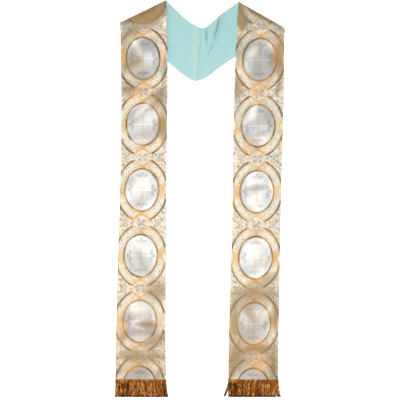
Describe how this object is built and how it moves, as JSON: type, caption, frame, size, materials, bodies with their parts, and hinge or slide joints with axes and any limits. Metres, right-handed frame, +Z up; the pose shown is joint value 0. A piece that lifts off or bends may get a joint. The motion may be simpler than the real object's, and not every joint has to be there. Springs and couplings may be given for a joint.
{
  "type": "clerical stole",
  "caption": "Lined brocade stole laid flat: long fringed bands fold under at the shoulders to a seamed V neck whose pale lining faces up.",
  "frame": {"origin": "bottom centre of the stole's box: on the surface that it lies on, midway between its outer edges and midway between its shoulder folds and its fringe tips", "axes": "+Y up the bands from hem to neck, +X to the right as the bands are seen from above, +Z up from the surface that it lies on"},
  "size_m": [0.4573, 1.07, 0.0145],
  "materials": {
    "brocade": "woven satin brocade, silver white ovals with crosses in gold brown rings",
    "lining": "pale aqua taffeta, soft sheen",
    "fringe": "twisted metallic bullion thread, copper gold"
  },
  "bodies": {
    "root": {"brocade_left": "brocade", "brocade_right": "brocade", "lining_left": "lining", "lining_right": "lining", "fringe_left": "fringe", "fringe_right": "fringe"}
  },
  "joints": []
}
